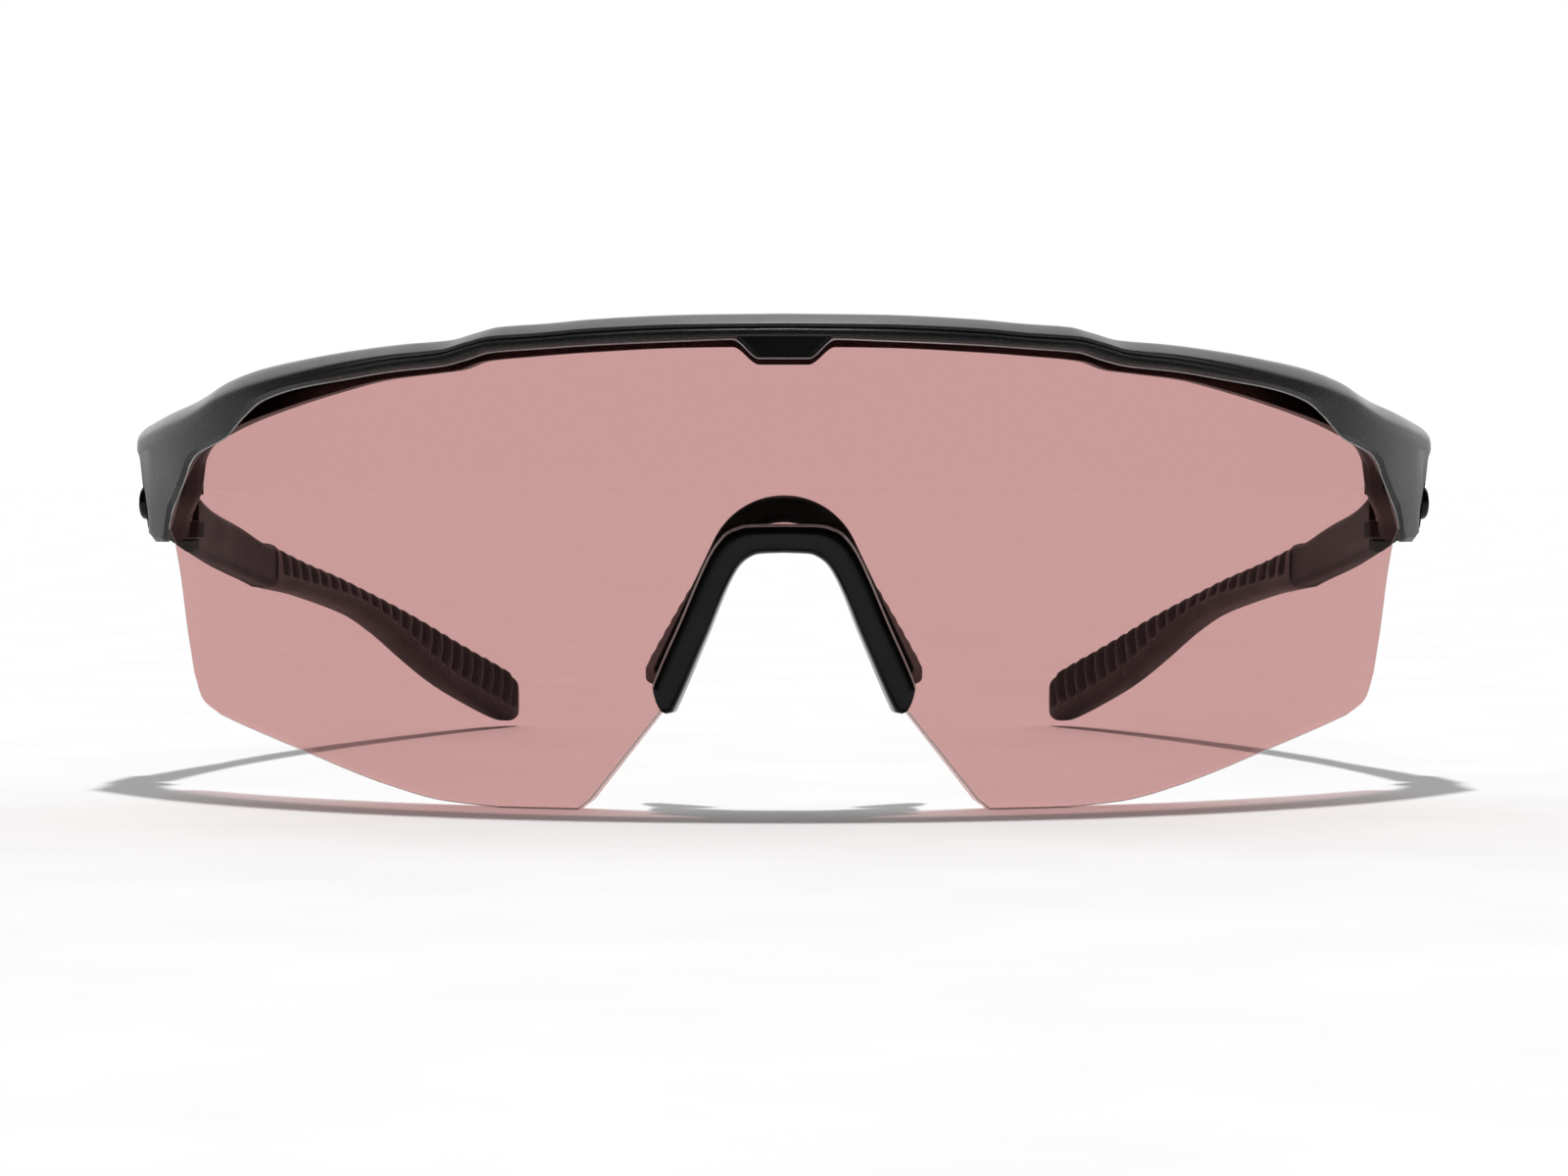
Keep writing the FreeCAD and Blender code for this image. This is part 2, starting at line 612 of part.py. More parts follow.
def wire_path(corners):
    """Straight runs joined by tangent arcs."""
    edges = []
    start = corners[0]
    for before, corner, after in zip(corners, corners[1:], corners[2:]):
        reach = 0.45 * min((corner - before).Length, (after - corner).Length)
        near, middle, far = turned(before, corner, after, reach)
        edges.append(Part.LineSegment(start, near).toShape())
        edges.append(Part.Arc(near, middle, far).toShape())
        start = far
    edges.append(Part.LineSegment(start, corners[-1]).toShape())
    return Part.Wire(edges)


route = [Vector(inner_face(back) + inset, CREST + back, z) for back, inset, z in WIRE_ROUTE]
path = wire_path(route)
first_run = route[1] - route[0]
wire_end = Part.Wire(Part.makeCircle(size("wire_radius"), route[0], first_run))
core_wire_left = feature("core_wire_left", path.makePipeShell([wire_end], True, False))

# The badge is a plain raised bar let into the arm's outer face.
badge_back = size("badge_back")
arm_thickness = ARM_SECTIONS[2][2]           # the badge lies beside the arm's thickest section
badge_spot = Vector(inner_face(badge_back) + arm_thickness, CREST + badge_back, size("badge_level"))
reach = size("badge_length") / 3
slope = (inner_face(badge_back + reach) - inner_face(badge_back - reach)) / (2 * reach)
rearward = Vector(slope, 1, 0).normalize()
outward = Vector(rearward.y, -rearward.x, 0)
badge_body = doc.addObject("PartDesign::Body", "badge_body")
badge_sketch = sketch_on(badge_body, "badge_outline", "XY_Plane")
half_run = (size("badge_length") - size("badge_width")) / 2
half_width = size("badge_width") / 2
badge_sketch.addGeometry([
    Part.ArcOfCircle(Part.Circle(Vector(half_run, 0, 0), Vector(0, 0, 1), half_width),
                     -math.pi / 2, math.pi / 2),
    Part.LineSegment(Vector(half_run, half_width, 0), Vector(-half_run, half_width, 0)),
    Part.ArcOfCircle(Part.Circle(Vector(-half_run, 0, 0), Vector(0, 0, 1), half_width),
                     math.pi / 2, 3 * math.pi / 2),
    Part.LineSegment(Vector(-half_run, -half_width, 0), Vector(half_run, -half_width, 0)),
], False)
for first in range(4):
    badge_sketch.addConstraint(
        Sketcher.Constraint("Coincident", first, 2, (first + 1) % 4, 1))
badge_sketch.addConstraint(Sketcher.Constraint("Radius", 0, half_width))
badge_sketch.setExpression("Constraints[4]", "size.badge_width / 2")
badge_pad = badge_body.newObject("PartDesign::Pad", "badge_pad")
badge_pad.Profile = badge_sketch
badge_pad.setExpression("Length", "size.badge_height")
doc.recompute()
TINY = 0.01
badge_rim = next("Edge%d" % i for i, edge in enumerate(badge_pad.Shape.Edges, start=1)
                 if edge.CenterOfMass.z > size("badge_height") - TINY)
badge_round = badge_body.newObject("PartDesign::Fillet", "badge_fillet")
badge_round.Base = (badge_pad, [badge_rim])
badge_round.setExpression("Radius", "size.badge_round")
badge_body.Placement = Placement(
    badge_spot + outward * (size("badge_proud") - size("badge_height")),
    Rotation(rearward, Vector(0, 0, 1), outward, "ZXY"))

temple_arm_left = cut("temple_arm_left", temple_blank,
                      fuse("temple_inlays", [core_wire_left, badge_body]))
grip_blank = feature("grip_blank", temple_loft(GRIP_SECTIONS))
temple_grip_left = cut("temple_grip_left", grip_blank,
                       fuse("grip_core", [temple_blank, core_wire_left]))

# ---------------------------------------------------------------- nodes and files

NODES = {
    "brow_frame": brow_frame,
    "brow_keystone": keystone_body,
    "shield_lens": shield_lens,
    "nose_clip": nose_clip,
    "nose_saddle": nose_saddle,
    "nose_pad_left": nose_pad_left,
    "nose_pad_right": nose_pad_right,
}
for kind, left in (("hinge_screw", hinge_screw_left), ("hinge_nut", hinge_nut_left),
                   ("hinge_washers", hinge_washers_left), ("temple_arm", temple_arm_left),
                   ("temple_grip", temple_grip_left), ("core_wire", core_wire_left),
                   ("temple_badge", badge_body)):
    NODES[kind + "_left"] = left
    NODES[kind + "_right"] = mirror(kind + "_right", left)

doc.recompute()
for item in doc.Objects:
    if "Invalid" in item.State or "Error" in item.State:
        raise SystemExit("%s failed: %s" % (item.Name, item.State))
for name, item in NODES.items():
    item.Label = name
    if item.Shape.isNull() or not item.Shape.isValid() or item.Shape.Volume <= 0:
        raise SystemExit("%s has a bad shape" % name)

os.makedirs("parts", exist_ok=True)
for name, item in NODES.items():
    item.Shape.exportStep("parts/%s.step" % name)
    extent = item.Shape.optimalBoundingBox(False)
    print("%-20s %9.2f mm3 %d solid(s) X %.2f..%.2f Y %.2f..%.2f Z %.2f..%.2f" % (
        name, item.Shape.Volume, len(item.Shape.Solids), extent.XMin, extent.XMax,
        extent.YMin, extent.YMax, extent.ZMin, extent.ZMax))
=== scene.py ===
import json
import math

import bmesh
import bpy
import numpy as np
from mathutils import Matrix, Vector
from mathutils.geometry import delaunay_2d_cdt


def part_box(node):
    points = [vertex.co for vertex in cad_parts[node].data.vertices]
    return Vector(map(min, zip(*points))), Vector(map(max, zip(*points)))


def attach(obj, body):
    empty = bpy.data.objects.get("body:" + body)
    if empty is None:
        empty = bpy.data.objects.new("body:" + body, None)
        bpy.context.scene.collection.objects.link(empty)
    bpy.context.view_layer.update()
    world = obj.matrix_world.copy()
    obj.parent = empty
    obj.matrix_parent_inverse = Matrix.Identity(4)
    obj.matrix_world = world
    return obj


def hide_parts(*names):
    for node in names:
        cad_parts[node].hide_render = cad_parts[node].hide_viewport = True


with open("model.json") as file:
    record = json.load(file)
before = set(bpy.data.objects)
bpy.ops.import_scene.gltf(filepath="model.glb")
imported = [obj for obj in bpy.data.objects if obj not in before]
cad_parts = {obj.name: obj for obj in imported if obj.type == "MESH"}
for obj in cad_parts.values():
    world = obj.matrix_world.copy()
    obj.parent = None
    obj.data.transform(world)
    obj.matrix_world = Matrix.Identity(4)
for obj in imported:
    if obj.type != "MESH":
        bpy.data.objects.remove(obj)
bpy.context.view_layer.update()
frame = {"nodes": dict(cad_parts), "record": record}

# Wraparound sport sunglasses. Shapes are worked out in millimetres and turned into metres when a
# mesh is made. +X is the wearer's left, the front faces -Y, +Z is up.

MM = 0.001

LENS_R, LENS_BACK = 82.0, 80.0               # radii of the lens's two faces
BROW_R, BROW_BACK = 84.3, 77.6               # radii of the brow bar's front and rear
CLIP_R, CLIP_BACK = 83.3, 78.7               # radii of the nose clip's front and rear
FIT = 0.04                                   # hairline between a groove and the lens in it
END = 60.0                                   # angle where the brow bar stops
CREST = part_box("shield_lens")[0].y / MM
AXIS = CREST + LENS_R
SIDES = (("left", 1), ("right", -1))


# ---------------------------------------------------------------- geometry helpers

def through(points):
    """A smooth function through (x, y) points that doesn't overshoot between them."""
    xs, ys = (np.array(v, float) for v in zip(*points))
    run = np.diff(xs)
    slope = np.diff(ys) / run
    tangent = np.concatenate([slope[:1], np.zeros(len(slope) - 1), slope[-1:]])
    for i in range(1, len(slope)):
        if slope[i - 1] * slope[i] > 0:
            tangent[i] = 2 * slope[i - 1] * slope[i] / (slope[i - 1] + slope[i])

    def value(x):
        i = np.clip(np.searchsorted(xs, x) - 1, 0, len(run) - 1)
        t = np.clip((x - xs[i]) / run[i], 0, 1)
        rise = t * t * (3 - 2 * t)
        return (ys[i] * (1 - rise) + ys[i + 1] * rise
                + run[i] * (tangent[i] * t * (1 - t) ** 2 - tangent[i + 1] * t * t * (1 - t)))
    return value


def sampled(points, spacing):
    """Points along a smooth curve through these points, about this far apart."""
    steps = [math.dist(a, b) for a, b in zip(points, points[1:])]
    along = np.concatenate([[0], np.cumsum(steps)])
    if len(points) == 2:
        axes = [lambda t, k=k: np.interp(t, along, [p[k] for p in points]) for k in (0, 1)]
    else:
        axes = [through(list(zip(along, [p[k] for p in points]))) for k in (0, 1)]
    count = max(2, int(along[-1] / spacing) + 1)
    return [(float(axes[0](t)), float(axes[1](t))) for t in np.linspace(0, along[-1], count)]


def smoothstep(low, high, x):
    t = np.clip((x - low) / (high - low), 0, 1)
    return t * t * (3 - 2 * t)


def mix(a, b, t):
    return a + (b - a) * t


def soft_min(a, b, blend):
    """The smaller of two lengths, rounded where they are nearly equal."""
    h = max(0.0, min(1.0, 0.5 + 0.5 * (b - a) / blend))
    return mix(b, a, h) - blend * h * (1 - h)


def polar(radius, degrees, z):
    a = math.radians(degrees)
    return (radius * math.sin(a), AXIS - radius * math.cos(a), z)


def chord(across, z):
    """(angle, Z) from the distance across the lens's front face."""
    return (math.degrees(math.asin(across / LENS_R)), z)


def rounded(corners, parts=4):
    """Closed loop with each corner (a, b, reach) rounded by a short parabola."""
    loop = []
    for i, (a, b, reach) in enumerate(corners):
        here = Vector((a, b))
        sides = []
        for other in (corners[i - 1], corners[(i + 1) % len(corners)]):
            way = Vector(other[:2]) - here
            sides.append(here + way * min(0.5, reach / max(way.length, 1e-6)))
        for k in range(parts + 1):
            t = k / parts
            loop.append(sides[0] * (1 - t) ** 2 + here * 2 * t * (1 - t) + sides[1] * t * t)
    return [(p.x, p.y) for p in loop]


def skin(rings, caps=True):
    """Quads between closed rings of equal length, with flat caps on the first and last."""
    size = len(rings[0])
    verts = [p for ring in rings for p in ring]
    faces = []
    for i in range(len(rings) - 1):
        for k in range(size):
            a, b = i * size + k, i * size + (k + 1) % size
            faces.append([a, b, b + size, a + size])
    if caps:
        last = (len(rings) - 1) * size
        faces.append(list(range(size))[::-1])
        faces.append(list(range(last, last + size)))
    return verts, faces


def build(name, parts, body, nodes, material, sharp=38.0):
    """One piece from (verts, faces) parts in millimetres."""
    bm = bmesh.new()
    for verts, faces in parts:
        made = [bm.verts.new([c * MM for c in p]) for p in verts]
        for face in faces:
            corners = [made[i] for i in dict.fromkeys(face)]
            if len(corners) > 2:
                bm.faces.new(corners)
    bmesh.ops.remove_doubles(bm, verts=bm.verts, dist=0.0005 * MM)
    bmesh.ops.dissolve_degenerate(bm, edges=bm.edges, dist=0.0005 * MM)
    bmesh.ops.recalc_face_normals(bm, faces=bm.faces)
    mesh = bpy.data.meshes.new(name)
    bm.to_mesh(mesh)
    bm.free()
    mesh.shade_smooth()
    mesh.set_sharp_from_angle(angle=math.radians(sharp))
    piece = bpy.data.objects.new(name, mesh)
    bpy.context.scene.collection.objects.link(piece)
    mesh.materials.append(material)
    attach(piece, body)
    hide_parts(*nodes)
    return piece


# ---------------------------------------------------------------- materials

def new_material(name):
    material = bpy.data.materials.new(name)
    material.use_nodes = True
    nodes = material.node_tree.nodes
    nodes.clear()
    out = nodes.new("ShaderNodeOutputMaterial")
    return material, nodes, material.node_tree.links, out


def noise(nodes, links, where, scale, detail=3.0):
    texture = nodes.new("ShaderNodeTexNoise")
    texture.inputs["Scale"].default_value = scale
    texture.inputs["Detail"].default_value = detail
    links.new(where, texture.inputs["Vector"])
    return texture.outputs["Fac"]


def ranged(nodes, links, source, low, high, start=0.3, stop=0.7):
    fit = nodes.new("ShaderNodeMapRange")
    fit.inputs["From Min"].default_value = start
    fit.inputs["From Max"].default_value = stop
    fit.inputs["To Min"].default_value = low
    fit.inputs["To Max"].default_value = high
    links.new(source, fit.inputs["Value"])
    return fit.outputs["Result"]


def solid(name, dark, light, rough, grain, bump, blotch=140.0, metal=0.0, specular=0.5):
    """Moulded or machined stuff: speckled colour, uneven gloss, fine grain, a painted highlight
    on convex edges and painted shade in hollows.
    """
    material, nodes, links, out = new_material(name)
    shader = nodes.new("ShaderNodeBsdfPrincipled")
    where = nodes.new("ShaderNodeTexCoord").outputs["Object"]
    speckle = noise(nodes, links, where, grain, 2.0)
    patches = noise(nodes, links, where, blotch, 4.0)
    colour = nodes.new("ShaderNodeMix")
    colour.data_type = "RGBA"
    colour.inputs["A"].default_value = (*dark, 1)
    colour.inputs["B"].default_value = (*light, 1)
    links.new(ranged(nodes, links, speckle, 0.0, 1.0, 0.35, 0.7), colour.inputs["Factor"])
    # Painted highlight: convex edges, found by pointiness, are mixed towards a lighter copy of
    # the colour.
    edge = nodes.new("ShaderNodeMix")
    edge.data_type = "RGBA"
    edge.inputs["B"].default_value = (*[min(1.0, c * 1.8) for c in light], 1)
    links.new(colour.outputs["Result"], edge.inputs["A"])
    convex = nodes.new("ShaderNodeNewGeometry").outputs["Pointiness"]
    links.new(ranged(nodes, links, convex, 0.0, 0.5, 0.53, 0.6), edge.inputs["Factor"])
    # Painted shade: hollows, found by pointiness, are darkened towards a quarter of the dark
    # colour.
    hollow_shade = nodes.new("ShaderNodeMix")
    hollow_shade.data_type = "RGBA"
    hollow_shade.inputs["B"].default_value = (*[c * 0.25 for c in dark], 1)
    links.new(edge.outputs["Result"], hollow_shade.inputs["A"])
    links.new(ranged(nodes, links, convex, 0.9, 0.0, 0.42, 0.49), hollow_shade.inputs["Factor"])
    links.new(hollow_shade.outputs["Result"], shader.inputs["Base Color"])
    links.new(ranged(nodes, links, patches, *rough), shader.inputs["Roughness"])
    shader.inputs["Metallic"].default_value = metal
    shader.inputs["Specular IOR Level"].default_value = specular
    relief = nodes.new("ShaderNodeBump")
    relief.inputs["Strength"].default_value = 1.0
    relief.inputs["Distance"].default_value = bump * MM
    links.new(speckle, relief.inputs["Height"])
    links.new(relief.outputs["Normal"], shader.inputs["Normal"])
    links.new(shader.outputs["BSDF"], out.inputs["Surface"])
    return material


def tinted_glass(name, tint, haze):
    """Clear tinted lens face: see-through colour under a thin, faintly smeared reflection."""
    material, nodes, links, out = new_material(name)
    where = nodes.new("ShaderNodeTexCoord").outputs["Object"]
    clear = nodes.new("ShaderNodeBsdfTransparent")
    clear.inputs["Color"].default_value = (*tint, 1)
    gloss = nodes.new("ShaderNodeBsdfGlossy")
    smear = noise(nodes, links, where, 60.0, 4.0)
    links.new(ranged(nodes, links, smear, *haze), gloss.inputs["Roughness"])
    grazing = nodes.new("ShaderNodeLayerWeight")
    grazing.inputs["Blend"].default_value = 0.5
    curve = nodes.new("ShaderNodeMath")
    curve.operation = "POWER"
    curve.inputs[1].default_value = 5.0
    links.new(grazing.outputs["Facing"], curve.inputs[0])
    both = nodes.new("ShaderNodeMixShader")
    links.new(ranged(nodes, links, curve.outputs["Value"], 0.003, 0.5, 0.0, 1.0), both.inputs[0])
    links.new(clear.outputs["BSDF"], both.inputs[1])
    links.new(gloss.outputs["BSDF"], both.inputs[2])
    links.new(both.outputs["Shader"], out.inputs["Surface"])
    return material


FRAME_PLASTIC = solid("frame_plastic", (0.004, 0.004, 0.004), (0.024, 0.024, 0.025),
                      (0.30, 0.40), 4200.0, 0.020, specular=0.5)
ARM_PLASTIC = solid("arm_plastic", (0.008, 0.007, 0.007), (0.016, 0.014, 0.014),
                    (0.50, 0.62), 4200.0, 0.004, specular=0.10)
GLOSS_BLACK = solid("gloss_black", (0.0006, 0.0006, 0.0006), (0.0014, 0.0014, 0.0014),
                    (0.16, 0.24), 900.0, 0.001, specular=0.2)
SADDLE_PLASTIC = solid("saddle_plastic", (0.001, 0.001, 0.001), (0.003, 0.003, 0.003),
                       (0.38, 0.50), 3000.0, 0.006, specular=0.08)
PAD_RUBBER = solid("pad_rubber", (0.070, 0.062, 0.062), (0.105, 0.095, 0.094),
                   (0.62, 0.78), 2600.0, 0.014, specular=0.15)
GRIP_RUBBER = solid("grip_rubber", (0.026, 0.022, 0.022), (0.046, 0.040, 0.040),
                    (0.45, 0.58), 3400.0, 0.003, specular=0.14)
# Light grey strip colour: a painted highlight along the brow's front lip and the nose clip's
# outer rim.
EDGE_HIGHLIGHT = solid("edge_highlight", (0.22, 0.23, 0.23), (0.34, 0.35, 0.35), (0.25, 0.35), 2600.0,
                  0.002)
SCREW_STEEL = solid("screw_steel", (0.42, 0.42, 0.43), (0.62, 0.62, 0.63),
                    (0.22, 0.36), 1800.0, 0.003, metal=1.0)
NUT_BRASS = solid("nut_brass", (0.55, 0.38, 0.16), (0.74, 0.56, 0.28),
                  (0.25, 0.38), 1800.0, 0.003, metal=1.0)
WASHER_NYLON = solid("washer_nylon", (0.50, 0.50, 0.48), (0.66, 0.66, 0.63),
                     (0.45, 0.6), 2200.0, 0.004)
WIRE_TITANIUM = solid("wire_titanium", (0.36, 0.36, 0.38), (0.52, 0.52, 0.54),
                      (0.30, 0.42), 2400.0, 0.003, metal=1.0)
# Light grey for the lens's chamfered edge faces: a painted highlight where the edge catches
# light.
LENS_EDGE_HIGHLIGHT = solid("lens_edge_highlight", (0.50, 0.53, 0.53), (0.66, 0.69, 0.69),
                  (0.25, 0.40), 2600.0, 0.004)
LENS_TINT = tinted_glass("lens_tint", (0.7665, 0.5788, 0.5665), (0.02, 0.06))


# ---------------------------------------------------------------- shield lens

LENS_HALF = [
    [chord(0, 49.3), chord(20, 48.8), chord(30.5, 48.0), chord(46.2, 45.8), chord(57.6, 43.0),
     chord(64.0, 39.6)],
    [chord(64.0, 39.6), chord(67.6, 36.5)],
    [chord(67.6, 36.5), chord(68.0, 29.0)],
    [chord(68.0, 29.0), chord(67.0, 27.0)],
    [chord(67.0, 27.0), chord(66.2, 23.0), chord(65.4, 17.7), chord(64.45, 12.6)],
    [chord(64.45, 12.6), chord(63.4, 9.9), chord(61.1, 8.35)],
    [chord(61.1, 8.35), chord(52.1, 5.35), chord(41.05, 1.75), chord(35.5, 0.5), chord(29.5, 0)],
    [chord(29.5, 0), chord(21.2, 0)],
    [chord(21.2, 0), chord(19.9, 1.0)],
    [chord(19.9, 1.0), chord(12.0, 10.9)],
    [chord(12.0, 10.9), chord(5.9, 24.8)],
    [chord(5.9, 24.8), chord(4.6, 26.5), chord(2.9, 27.2), chord(0, 27.3)],
]
PER_DEGREE = LENS_R * math.pi / 180          # arc length of one degree on the lens's face
LENS_BEVEL = 0.14                            # chamfer on each edge of the lens
LENS_SPACING = 0.8                           # between points on the lens's edge
INSIDE_ONLY = 1                              # triangulation mode: keep what the loop holds


def lens_outline(spacing):
    """The lens's edge, flattened: (arc length, Z), once round."""
    half = []
    for stretch in LENS_HALF:
        flat = [(a * PER_DEGREE, z) for a, z in stretch]
        half += sampled(flat, spacing)[:-1]
    half.append((0.0, LENS_HALF[-1][-1][1]))
    return half + [(-u, z) for u, z in reversed(half[1:-1])]


def inset(loop, amount):
    """The loop moved inwards along its own normals."""
    area = sum(a[0] * b[1] - b[0] * a[1] for a, b in zip(loop, loop[1:] + loop[:1]))
    amount = math.copysign(amount, area)
    moved = []
    for i, point in enumerate(loop):
        before, after = Vector(loop[i - 1]), Vector(loop[(i + 1) % len(loop)])
        way = (after - before).normalized()
        moved.append((point[0] - way.y * amount, point[1] + way.x * amount))
    return moved


def lens_sheet(loop, radius):
    """The area inside a flattened loop, with inner points, laid on a cylinder."""
    inside = []
    box = np.array(loop)
    for u in np.arange(box[:, 0].min() + 0.7, box[:, 0].max(), 1.6):
        for z in np.arange(box[:, 1].min() + 1.7, box[:, 1].max(), 3.4):
            inside.append((float(u), float(z)))
    points = [Vector(p) for p in loop + inside]
    edges = [(i, (i + 1) % len(loop)) for i in range(len(loop))]
    verts, _, faces, *_ = delaunay_2d_cdt(points, edges, [], INSIDE_ONLY, 1e-5)
    return [polar(radius, v.x / PER_DEGREE, v.y) for v in verts], [list(f) for f in faces]


def lens_rim(loops):
    """Strip that joins flattened loops (loop, radius) in order."""
    rings = [[polar(radius, u / PER_DEGREE, z) for u, z in loop] for loop, radius in loops]
    return skin(rings, caps=False)


def make_lens():
    outline = lens_outline(LENS_SPACING)
    inner = inset(outline, LENS_BEVEL)
    rim = lens_rim([(inner, LENS_R), (outline, LENS_R - LENS_BEVEL),
                    (outline, LENS_BACK + LENS_BEVEL), (inner, LENS_BACK)])
    lens = build("lens_shell", [lens_sheet(inner, LENS_R), lens_sheet(inner, LENS_BACK), rim],
                 "front", ["shield_lens"], LENS_TINT, sharp=25.0)
    # The chamfered edge faces get the painted edge highlight.
    lens.data.materials.append(LENS_EDGE_HIGHLIGHT)
    for face in lens.data.polygons:
        out = Vector((face.center.x, face.center.y - AXIS * MM, 0))
        if out.length > (LENS_R - 0.5) * MM and 0.2 < face.normal.dot(out.normalized()) < 0.9:
            face.material_index = 1
    return lens


# ---------------------------------------------------------------- brow frame

TOP = through([(0, 50.9), (7, 50.8), (14, 50.4), (17.5, 50.0), (21.2, 49.7), (23.1, 49.1),
               (25.2, 48.4), (29.3, 48.05), (33.6, 47.5), (38.4, 46.7), (43.1, 45.75),
               (46.9, 44.5), (48.9, 43.45), (51.1, 42.45), (54.7, 41.35), (57.4, 40.45),
               (58.9, 39.9), (60.0, 39.1)])
FRONT_LIP = through([(0, 46.2), (1.7, 46.2), (3.6, 48.15), (6.84, 48.0), (13.8, 47.6),
                     (17.3, 47.3), (21.1, 46.95), (23.0, 46.2), (24.9, 45.6), (29.0, 45.1),
                     (33.3, 44.3), (38.0, 43.4), (41.6, 42.1), (43.7, 40.3), (45.7, 38.25),
                     (48.2, 37.1), (49.3, 36.5), (50.2, 35.4), (50.9, 33.8), (51.8, 32.1),
                     (52.8, 30.2), (53.25, 28.6), (53.5, 27.0), (60.0, 27.0)])
REAR_LIP = through([(0, 45.7), (1.8, 45.7), (3.8, 47.5), (7.3, 47.45), (14.95, 47.0),
                    (18.9, 46.65), (22.9, 46.2), (25.1, 45.3), (27.2, 45.0), (31.7, 44.4),
                    (36.7, 43.1), (42.1, 41.5), (46.5, 40.1), (50.5, 38.6), (52.9, 37.5),
                    (54.2, 36.6), (55.4, 34.9), (56.0, 32.0), (58.4, 28.2), (58.7, 27.0),
                    (60.0, 27.0)])
LENS_TOP = through([chord(0, 49.3), chord(20, 48.8), chord(30.5, 48.0), chord(46.2, 45.8),
                    chord(57.6, 43.0), chord(64.0, 39.6), chord(67.6, 36.5), chord(68.0, 30.0)])
SIDE_LIMIT = through([(26.0, 69.2), (27.0, 69.2), (28.9, 70.55), (34.8, 70.55), (35.9, 71.0),
                      (37.3, 71.6), (60.0, 71.6)])
LENS_END = 56.0                              # angle of the lens's side edge
KEY_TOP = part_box("brow_keystone")[1].z / MM
KEY_END = math.degrees(math.atan(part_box("brow_keystone")[1].x / MM / LENS_R)) + 0.15
RIM = 0.16                                   # width of the frame's edge round the keystone
LIP_HIGHLIGHT_WIDTH = 0.10                                  # width of the strip along the front lip that carries a painted highlight
SLOPE_STEP = 0.3                             # degrees either side used to read a slope
MAX_STRETCH = 2.4                            # most that a steep stretch may widen a strip
POCKET_R, POCKET_RIM_R = 83.0, 84.05         # floor and rim of the keystone's pocket


def slope_of(line, angle):
    """How much longer a boundary is than its run round the lens, at this angle."""
    run = 2 * SLOPE_STEP * PER_DEGREE
    rise = (line(angle + SLOPE_STEP) - line(angle - SLOPE_STEP)) / run
    return min(MAX_STRETCH, math.hypot(1.0, rise))


def brow_section(angle):
    """Closed loop (radius, Z) of the brow bar at an angle from the centre."""
    a = abs(angle)
    top, lip, rear = float(TOP(a)), float(FRONT_LIP(a)), float(REAR_LIP(a))
    corner = smoothstep(22, 47, a)
    stretch = slope_of(FRONT_LIP, a)
    bevel = mix(1.08, 1.9, corner)
    crest = top - bevel
    crease = mix(0.32, 0.0, smoothstep(26, 44, a))
    strip = mix(0.34, 0.5, corner) * stretch
    face_top = crest - mix(0.75, 1.5, corner)
    face_low = lip + strip
    pocket = a < KEY_END and lip + RIM < KEY_TOP - 0.03
    if pocket:
        face_low = max(face_low, min(KEY_TOP + 0.02, face_top - 0.05))
    deep = POCKET_R if pocket else BROW_R
    shelf_low = lip + RIM if pocket else face_low
    rim_out = POCKET_RIM_R if pocket else BROW_R
    face_top = max(face_top, face_low + 0.02)
    ahead = math.degrees(math.asin(math.sin(math.radians(a)) * LENS_R / BROW_R))
    back_lip = float(FRONT_LIP(ahead))       # the lip's underside runs straight back
    roof = float(LENS_TOP(a)) + FIT if a < LENS_END else min(lip, rear) + 0.02
    roof = min(max(roof, back_lip + 0.02, rear + 0.02), top - 0.5)
    back_lip = min(back_lip, roof - 0.01)
    corners = [
        (mix(81.6, 82.3, corner), top, mix(0.5, 1.2, corner)),
        (mix(83.95, 84.15, corner), crest, mix(0.10, 1.0, corner)),
        (BROW_R - mix(0.25, 0.05, corner) - crease, crest - mix(0.28, 0.7, corner),
         mix(0.15, 0.6, corner)),
        (BROW_R, face_top, 0.5),
        (BROW_R, face_low, 0.12 if pocket else 0.5),
        (deep, face_low, 0.05),
        (deep, shelf_low, 0.05),
        (rim_out, shelf_low, 0.05),
        (84.0 if pocket else 83.85, lip + LIP_HIGHLIGHT_WIDTH * stretch, 0.02),
        (84.0 if pocket else 83.75, lip, 0.02),
        (LENS_R + FIT, back_lip, 0.05),
        (LENS_R + FIT, roof, 0.05),
        (LENS_BACK - FIT, roof, 0.05),
        (LENS_BACK - FIT, rear, 0.05),
        (78.5, rear, 0.25),
        (BROW_BACK, rear + 0.7, 0.4),
        (BROW_BACK, top - 0.8, 0.5),
        (78.5, top, 0.5),
    ]
    loop = []
    for radius, z in rounded(corners):
        if a > 1:
            limit = float(SIDE_LIMIT(z)) / math.sin(math.radians(a))
            radius = soft_min(radius, limit, 0.5)
        loop.append((radius, z))
    return loop


def brow_angles():
    """Stations round the bar, closest together at the keystone and in the corners."""
    half = list(np.arange(0, 4.6, 0.1)) + list(np.arange(4.6, 20, 0.7))
    half += list(np.arange(20, 27, 0.35)) + list(np.arange(27, 38, 0.6))
    half += list(np.arange(38, 59.6, 0.3)) + [59.7, 59.9]
    return [-a for a in reversed(half[1:])] + half


def shrunk(loop, amount):
    """The loop drawn in towards its middle, for a softened end."""
    middle = np.mean(loop, axis=0)
    size = np.ptp(loop, axis=0)
    return [tuple(middle + (np.array(p) - middle) * (1 - 2 * amount / size)) for p in loop]


